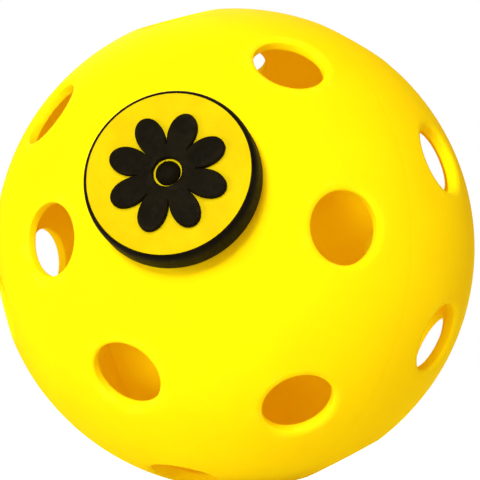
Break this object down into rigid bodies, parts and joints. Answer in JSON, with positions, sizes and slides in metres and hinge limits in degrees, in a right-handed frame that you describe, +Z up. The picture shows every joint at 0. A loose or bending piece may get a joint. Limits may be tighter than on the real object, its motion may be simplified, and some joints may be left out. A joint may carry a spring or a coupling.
{
  "type": "pickleball",
  "caption": "Hollow plastic pickleball with round air holes, welded from two half shells, with a round soft plastic badge plugged into one hole.",
  "frame": {"origin": "the centre of the ball", "axes": "+Z is up in the picture; the pole of the front half shell is along -Y, so the weld plane is the XZ plane; +X is to the right of someone who looks at the front pole"},
  "size_m": [0.074, 0.0768, 0.074],
  "materials": {
    "shell_yellow": "satin moulded polyethylene, lemon yellow",
    "weld_yellow": "matt weld bead, lemon yellow, inside the seam",
    "badge_black": "satin soft PVC, black",
    "badge_gold": "satin soft PVC, golden yellow",
    "stud_black": "satin flexible plastic, black"
  },
  "bodies": {
    "ball": {"shell_front": "shell_yellow", "shell_back": "shell_yellow", "weld_bead": "weld_yellow"},
    "stud": {"badge_stud": "stud_black"},
    "badge": {"badge_tray": "badge_black", "badge_face": "badge_gold", "badge_rosette": "badge_black", "badge_centre": "badge_black"}
  },
  "joints": [
    {"name": "badge_pull", "type": "slide", "parent": "ball", "child": "stud", "axis": [0.5349, -0.809, 0.2438], "range_m": [0, 0.01], "deforming": ["badge_stud"]},
    {"name": "badge_spin", "type": "hinge", "parent": "stud", "child": "badge", "pos_m": [0.01966, -0.02974, 0.00896], "axis": [0.5349, -0.809, 0.2438], "continuous": true}
  ]
}
